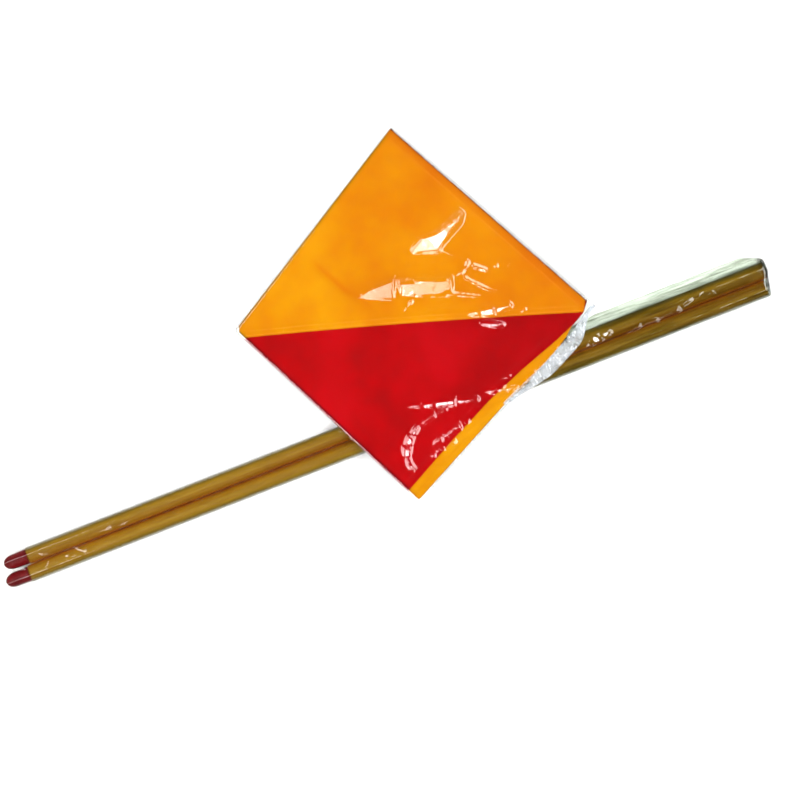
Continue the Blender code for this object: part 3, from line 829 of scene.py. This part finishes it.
def addPanel(name, faces, heights, material):
    # one folded cloth: outlines and bends are welded, gridded, waved and given thickness
    grid = bmesh.new()
    for points in faces:
        grid.faces.new([grid.verts.new(tuple(float(c) for c in point)) for point in points])
    bmesh.ops.remove_doubles(grid, verts=grid.verts, dist=0.02)
    for k in range(1, int(packet["side"] / packet["grid"]) + 1):
        cutGrid(grid, (k * packet["grid"], 0, 0), (1, 0, 0))
        cutGrid(grid, (0, k * packet["grid"], 0), (0, 1, 0))
    # only the upper flag shows, so only it has waves, a raised hem and a felled seam
    upper = heights[0] > 0
    if upper:
        ramp, width = packet["foldRamp"], packet["fellWidth"]
        cutGrid(grid, (0, packet["hemStart"], 0), (0, 1, 0))
        cutGrid(grid, (0, packet["hemStart"] + ramp, 0), (0, 1, 0))
        square = Vector((-fly["seamEnd"][1], fly["seamEnd"][0] - packet["seam"], 0)).normalized()
        for offset in (packet["seamRamp"], width, width + ramp):
            cutGrid(grid, Vector((packet["seam"], 0, 0)) + square * offset, square)
    bmesh.ops.recalc_face_normals(grid, faces=grid.faces)
    # the flat cloth's own coordinates, in metres from its middle, carry the weave
    cloth = grid.loops.layers.uv.new("cloth")
    for face in grid.faces:
        height = face.calc_center_median().z
        layer = min(range(4), key=lambda i: abs(heights[i] - height))
        turnX = 1 if layer in (0, 3) else -1
        turnY = 1 if layer in (0, 1) else -1
        for loop in face.loops:
            loop[cloth].uv = (turnX * loop.vert.co.x * mm, turnY * loop.vert.co.y * mm)
    flat = np.array([v.co for v in grid.verts])
    along, across, height = flat.T
    valleyShadeAmounts = np.zeros_like(along)
    if upper:
        depth = np.clip((heights[0] - height) / (heights[0] - heights[3]), 0, 1)
        wave, valleyShadeAmounts = clothWave(along, across, depth)
        height = height + wave + sewnFold(along, across) * (height > heights[0] - 0.1)
    # how far down the soft valley each point is, kept for the painted shade in the valley
    valleyShade = grid.verts.layers.float.new("valleyShade")
    places = packetPoints(along, across, pressed(height, across))
    for vertex, place, value in zip(grid.verts, places, valleyShadeAmounts):
        vertex.co = place
        vertex[valleyShade] = value
    mesh = bpy.data.meshes.new(name)
    grid.to_mesh(mesh)
    grid.free()
    return addThickness(linkPiece(name, mesh, material), packet["cloth"] * mm, 0.0)


def addPocket(name, heights, material):
    # flattened tube along the hoist, folded once between the second and third layers
    _, b, c, _ = heights
    middle, radius = (b + c) / 2, (b - c) / 2
    half = (packet["pocketHeight"] - packet["cloth"]) / 2
    length = packet["side"] - packet["topShort"]
    # (across, height, and the direction square to the pocket) from end to end
    path = [(across, b, 0.0, 1.0) for across in np.linspace(length, 4, 40)]
    for i in range(packet["bendSteps"] + 1):
        angle = math.pi * i / packet["bendSteps"]
        out, rise = math.sin(angle), math.cos(angle)
        path.append((-radius * out, middle + radius * rise, -out, rise))
    path += [(across, c, 0.0, -1.0) for across in np.linspace(4, length, 40)]
    rings = []
    for across, height, normalAcross, normalHeight in path:
        outer = pocketEdge(across) - packet["cloth"] / 2
        inner = pocketEdge(across) - packet["pocket"] + packet["cloth"] / 2
        # two half rounds, joined by the flat lower side and the flat upper side
        ring = []
        for centre, start, level, parts in ((outer - half, 1, -half, (0.75, 0.5, 0.25)),
                                            (inner + half, -1, half, (0.25, 0.5, 0.75))):
            for k in range(5):
                turn = start * math.pi / 2 - math.pi * k / 4
                ring.append((centre + half * math.cos(turn), half * math.sin(turn)))
            ring += [(inner + half + (outer - inner - 2 * half) * part, level) for part in parts]
        ring = np.array(ring)
        rise = pressed(height + normalHeight * ring[:, 1], across)
        rings.append(packetPoints(ring[:, 0], across + normalAcross * ring[:, 1], rise))
    rings = np.array(rings)
    piece = addLoft(name, rings, material)
    cloth = piece.data.uv_layers.new(name="cloth")
    around = rings.shape[1]
    for loop in piece.data.loops:
        ring, point = divmod(loop.vertex_index, around)
        cloth.data[loop.index].uv = (point * 4 * mm, path[ring][0] * mm)
    return addThickness(piece, packet["cloth"] * mm, 0.0)


def topSurface(along, across):
    # height in mm of the top of the visible layer
    along, across = np.array([along]), np.array([across])
    height = 3.5 * packet["pitch"] + clothWave(along, across, 0.0)[0] + sewnFold(along, across)
    return float(pressed(height + packet["cloth"] / 2, across)[0])


def addStitches(name, start, end, inset, material):
    # a row of lock stitches along a line of the top layer: short threads that sink at both ends
    # sections is (place along the thread from its middle, thickness, rise above the cloth)
    stitch = {"length": 2.4, "pitch": 3.2, "radius": 0.14, "sides": 5,
              "sections": ((-0.5, 0.35, -0.12), (-0.3, 1.0, 0.02), (0.3, 1.0, 0.02), (0.5, 0.35, -0.12))}
    (x0, y0), (x1, y1) = start, end
    length = math.hypot(x1 - x0, y1 - y0)
    tx, ty = (x1 - x0) / length, (y1 - y0) / length
    sides, sections = stitch["sides"], stitch["sections"]
    vertices, faces = [], []
    for k in range(int(length / stitch["pitch"])):
        base = len(vertices)
        for part, thick, rise in sections:
            reach = (k + 0.5) * stitch["pitch"] + part * stitch["length"]
            along, across = x0 + tx * reach - ty * inset, y0 + ty * reach + tx * inset
            lift = topSurface(along, across) + rise
            for angle in np.linspace(0, 2 * math.pi, sides, endpoint=False):
                aside = stitch["radius"] * thick * math.cos(angle)
                up = stitch["radius"] * thick * math.sin(angle)
                vertices.append(packetPoints(along - ty * aside, across + tx * aside, lift + up))
        for row in range(len(sections) - 1):
            a, b = base + row * sides, base + (row + 1) * sides
            faces += [(a + i, a + (i + 1) % sides, b + (i + 1) % sides, b + i) for i in range(sides)]
        faces.append(tuple(range(base, base + sides)))
        faces.append(tuple(range(len(vertices) - sides, len(vertices))))
    return addMesh(name, vertices, faces, material)


def addFlag(number, topHeight):
    # four layers, A at the top to D at the bottom, by their middle heights in mm
    heights = [topHeight - i * packet["pitch"] for i in range(4)]
    body = f"flag_{number}"
    # each half with the flat size and the area that it was cut to, in metres
    halves = (("yellow", yellowFaces(heights), yellowCloth, (0.448, 0.480), 0.112),
              ("red", redFaces(heights), redCloth, (0.472, 0.480), 0.108))
    for colour, faces, material, flat, area in halves:
        piece = addPanel(f"{body}_{colour}_cloth", faces, heights, material)
        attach(piece, body)
        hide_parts(f"{body}_{colour}_panel")
    pocket = addPocket(f"{body}_pole_pocket_cloth", heights, pocketCloth)
    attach(pocket, body)
    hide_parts(f"{body}_pole_pocket")


addFlag(1, 3.5 * packet["pitch"])
addFlag(2, -0.5 * packet["pitch"])

seamStart, seamEnd = (packet["seam"], 0), fly["seamEnd"]
topEdge = packet["side"] - packet["topShort"]
# name, start and end of an edge, how far inside it the stitches run, thread, slot
stitchRows = [
    ("flag_1_seam_stitching_lower", seamStart, seamEnd, 1.4, yellowThread, "yellow_cloth"),
    ("flag_1_seam_stitching_upper", seamStart, seamEnd, 5.4, yellowThread, "yellow_cloth"),
    ("flag_1_top_hem_stitching", (3, topEdge), (fly["top"], topEdge), -7.2, yellowThread, "yellow_cloth"),
    ("flag_1_fly_hem_stitching_lower", fly["edge"][0], fly["edge"][2], 7.5, redThread, "red_cloth"),
    ("flag_1_fly_hem_stitching_upper", fly["edge"][2], fly["edge"][4], 7.5, redThread, "red_cloth"),
]
for name, start, end, inset, material, slotName in stitchRows:
    row = addStitches(name, start, end, inset, material)
    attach(row, "flag_1")
print("flags made")


# film bag round the flags, in mm
bag = {
    "step": 1.35, "film": 0.12, "half": 4.75, "edgeRound": 1.6,
    # how far the film stands past the folded cloth on the two sides
    "underGap": 0.6, "overGap": 1.2,
    # the closed end, rounded down to a flat seal: (distance from the end, share of the full height)
    "closed": -2.1, "seal": [(0, 0.06), (0.15, 0.38), (0.5, 0.62), (1.0, 0.80), (1.8, 0.93), (3.0, 1.0)],
    # corner L is cut by this much; the film stands this far past the cloth on its two sides
    "cornerCut": 3.0, "cornerPast": 2.4,
    # the open end runs out to a lip, from lipStart inside the hoist; it is slack and crumpled towards
    # corner R
    "lip": 2.0, "lipSlack": 12.5, "lipSteps": 18, "lipStart": 3, "crumpledFrom": 118, "crumple": 1.5,
    # the folds that face the lamp: see facetField
    "flank": 1.2, "dome": 0.35, "softDome": 0.15, "facetBase": 0.2,
}
# folds of the top film that face the key lamp: outlines, or strips of X, Y and width
bagFacets = [
    [[(77, 142), (106, 133), (112, 140), (113, 151), (95, 152)],
     [(111, 151), (111, 139), (133, 153), (136, 159)]],
    *strip((107, 133, 0.8), (115, 125, 1.4), (126, 117, 1.6), (130, 113, 0.8)),
    *strip((112, 105, 0.8), (121, 109, 1.8), (128, 115, 0.8)),
    *strip((130, 111, 1.2), (136, 105, 4.0), (143, 100, 1.6), (152, 102, 1.2), (163, 99, 0.6)),
    *strip((119, 103, 0.8), (127, 93, 2.2), (137, 83, 2.2), (145, 77, 0.8)),
    [(66, 107), (71, 106), (72, 110), (67, 112)],
    *strip((108, 70, 2.0), (120, 67, 7.0), (134, 63, 8.5), (150, 63, 3.0)),
    *strip((117, 58, 2.0), (127, 52, 6.5), (138, 48, 2.0)),
    *strip((134, 48, 1.2), (138, 45, 1.6)),
    *strip((155, 55, 2.0), (162, 54, 2.4)),
    *strip((25, 10, 1.6), (38, 6, 3.4), (50, 2, 6.6), (69, -3, 7.0), (90, -8, 2.4)),
    *strip((87, 5, 1.8), (91, 4, 1.8)),
    *strip((117, 3, 1.4), (126, 1, 1.6)),
    *strip((98, -3, 2.4), (108, -7, 5.0), (116, -8, 5.0), (128, -12, 2.4)),
    *strip((8, -35, 7.5), (12, -26, 8.0), (19, -18, 6.0), (28, -12, 3.6), (46, -7, 2.4), (59, -6, 1.4)),
    *strip((9, -36, 4.0), (8, -42, 6.0), (12, -50, 2.4)),
    *strip((34, -33, 2.0), (45, -30, 4.2), (65, -25, 4.2), (75, -24, 1.8)),
    *strip((34, -39, 2.0), (44, -39, 3.6), (56, -37, 1.6)),
    *strip((25, -44, 1.4), (34, -42, 1.8)),
]

# folds that look past the lamp's core, and so shine more softly
bagSoftFacets = [
    [(15, 122), (34, 113), (50, 107), (57, 125), (36, 125)],
    [(58, 108), (74, 101), (88, 96), (104, 95), (107, 107), (90, 112), (60, 124)],
    *strip((86, 97, 1.2), (105, 91, 3.4), (128, 80, 1.0)),
    *strip((54, 92, 0.8), (60, 95, 1.8), (66, 100, 0.8)),
]


def lipLength(across):
    # how far the lip reaches past the pole pocket
    slack = smoothStep(across, 115, 175) * (1 - smoothStep(across, 204, 236))
    return bag["lip"] + bag["lipSlack"] * slack


def bagSection():
    # (across, height, kind) once round the bag; kind is 1 on the top, 0 to 0.3 on the sides, -1 beneath
    edge = bag["edgeRound"]
    low = -1.5 * packet["pitch"] - packet["cloth"] / 2 - bag["underGap"] + edge
    high = packet["side"] + bag["overGap"] - edge
    level = bag["half"] - edge
    count = int((high - low) / bag["step"])
    quarter = np.linspace(0, math.pi / 2, 5)

    def corner(across, height, angles, kind):
        return [(across + edge * math.cos(angle), height + edge * math.sin(angle), kind) for angle in angles]

    points = [(across, bag["half"], 1.0) for across in np.linspace(high, low, count)]
    points += corner(low, level, quarter[1:] + math.pi / 2, 0.3)
    points += corner(low, -level, quarter[:-1] + math.pi, 0.0)
    points += [(across, -bag["half"], -1.0) for across in np.linspace(low, high, count // 4)]
    points += corner(high, -level, quarter[1:] - math.pi / 2, 0.0)
    points += corner(high, level, quarter[:-1], 0.3)
    return np.array(points)


def cutCorner(along, across):
    # the film is drawn in across corner L, where the folded cloth has no corner
    past = along - bag["closed"] + across + bag["cornerPast"]
    short = np.maximum(0.0, bag["cornerCut"] - past) / 2
    return along + short, across + short


def addBag():
    section = bagSection()
    side, closed = packet["side"], bag["closed"]
    # stations along the bag: (along, share of the full height, share of the way out to the lip)
    stations = [(closed + reach, squash, 0.0) for reach, squash in bag["seal"]]
    stations += [(along, 1.0, 0.0) for along in np.arange(closed + 4.4, side - 4, bag["step"])]
    # the crumpled film starts a few stations into the lip
    firstCrumpled = (len(stations) + 5) * len(section)
    stations += [(side - bag["lipStart"], 1.0, part) for part in np.linspace(0, 1, bag["lipSteps"])]
    along, squash, part = (column[:, None] for column in np.array(stations).T)
    across, height, kind = (row[None, :] for row in section.T)
    reach = along + part * (bag["lipStart"] + lipLength(across))
    reach, across = cutCorner(reach, across + 0 * reach)
    x, y = packetPlan(reach, across)
    # the top film's folds and ripples fade out towards its seal
    top = np.clip(kind, 0, 1) * np.clip((along - closed - 2) / 6, 0, 1)
    lift = 0.1 * (1 + smoothNoise(x, y, 0.03, 4.0))
    for facets, lampPoint, dome in ((bagFacets, keyPlace, bag["dome"]),
                                    (bagSoftFacets, besideCore, bag["softDome"])):
        folds = facetField(x, y, facets, lampPoint, -math.tan(tilt), bag["flank"], dome,
                           bag["facetBase"] * mm)
        lift = np.maximum(lift, folds / mm)
    lift = lift + 0.035 * smoothNoise(x, y, 0.009, 17.0) + 0.022 * smoothNoise(x, y, 0.005, 27.0)
    # past the flags the slack film is crumpled, above more than beneath
    loose = smoothStep(reach, side - 1, side + 4)
    crumple = np.abs(smoothNoise(x, y, 0.0045, 30.0)) + 0.6 * np.abs(smoothNoise(x, y, 0.002, 44.0))
    lift = top * (lift + loose * bag["crumple"] * crumple) - (kind < -0.9) * loose * 0.25 * crumple
    points = packetPoints(reach, across, height * squash + lift)
    piece = addLoft("flag_bag_film", points, bagFilm, True, False)
    piece.data.materials.append(crumpledFilm)
    for face in piece.data.polygons:
        faceAcross = section[face.vertices[0] % len(section)][0]
        if min(face.vertices) >= firstCrumpled and faceAcross > bag["crumpledFrom"]:
            face.material_index = 1
    addThickness(piece, bag["film"] * mm, -1.0)
    piece.visible_shadow = False
    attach(piece, "flag_bag")
    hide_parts("flag_bag")


addBag()
print("film bag made")


def addFloor():
    # satin paint on a smooth table top: pale and even, with hardly any grain; its size is in metres, the
    # grain in mm, and it lies just below the film
    table = {"half": 9, "below": -0.0006, "grain": 3.33}
    material, shader = newMaterial("palePaintedTable", studio["floor"], 0.7, Specular_IOR_Level=0.2)
    grain = addNode(material, "ShaderNodeTexNoise", sockets={
        "Scale": noiseScale(table["grain"])}).outputs["Fac"]
    bump = addNode(material, "ShaderNodeBump", sockets={
        "Strength": 0.05, "Distance": 0.0002, "Height": grain}).outputs["Normal"]
    plug(material, shader, {"Normal": bump})
    mesh = bpy.data.meshes.new("floor")
    corners = [(x * table["half"], y * table["half"], table["below"])
               for x, y in ((-1, -1), (1, -1), (1, 1), (-1, 1))]
    mesh.from_pydata(corners, [], [(0, 1, 2, 3)])
    linkPiece("floor", mesh, material)


def addLamp(name, place, aim, size, radiance):
    # a square area lamp of a given brightness, size in metres
    light = bpy.data.lights.new(name, "AREA")
    light.shape = "SQUARE"
    light.size = size
    light.energy = radiance * size * size * math.pi
    lamp = bpy.data.objects.new(name, light)
    bpy.context.scene.collection.objects.link(lamp)
    lamp.location = place
    lamp.rotation_euler = (place - aim).to_track_quat("Z", "Y").to_euler()


def addWorld():
    # dark overhead, so that flat film stays clear, and paler towards the horizon; it has no colour
    world = bpy.data.worlds.new("paleStudio")
    world.use_nodes = True
    tree = world.node_tree
    direction = addNode(world, "ShaderNodeTexCoord").outputs["Generated"]
    height = addNode(world, "ShaderNodeSeparateXYZ", sockets={"Vector": direction}).outputs["Z"]
    grey = addNode(world, "ShaderNodeMapRange", smoothRange, {
        "From Min": studio["horizonHeight"], "From Max": studio["zenithHeight"],
        "To Min": studio["horizon"], "To Max": studio["zenith"], "Value": height}).outputs["Result"]
    tree.links.new(grey, tree.nodes["Background"].inputs["Strength"])
    tree.nodes["Background"].inputs["Color"].default_value = (1.0, 1.0, 1.0, 1.0)
    bpy.context.scene.world = world


def addStudio():
    addFloor()
    addWorld()
    # the key lamp has a bright core just in front of it
    addLamp("keyLamp", keyPlace, keyAim, studio["keySize"], studio["keyRadiance"])
    addLamp("keyLampCore", keyPlace.lerp(keyAim, 0.01), keyAim, studio["coreSize"], studio["coreRadiance"])
    middle = Vector((*studio["centre"], 0.0))
    for number, (azimuth, radiance) in enumerate(studio["panels"]):
        turn = math.radians(azimuth)
        towards = Vector((math.cos(turn), math.sin(turn), studio["panelRise"])).normalized()
        place = middle + towards * studio["panelDistance"]
        addLamp(f"panel_{number}", place, middle, studio["panelSize"], radiance)
    bpy.context.scene.view_settings.view_transform = "Standard"
    data = bpy.data.cameras.new("camera")
    data.lens = data.sensor_width * studio["eyeDistance"] / studio["viewWidth"]
    data.clip_end = 60.0
    camera = bpy.data.objects.new("camera", data)
    camera.location = eyePlace
    camera.rotation_euler = (0.0, 0.0, studio["turn"])
    bpy.context.scene.collection.objects.link(camera)
    bpy.context.scene.camera = camera


addStudio()
print("studio made")
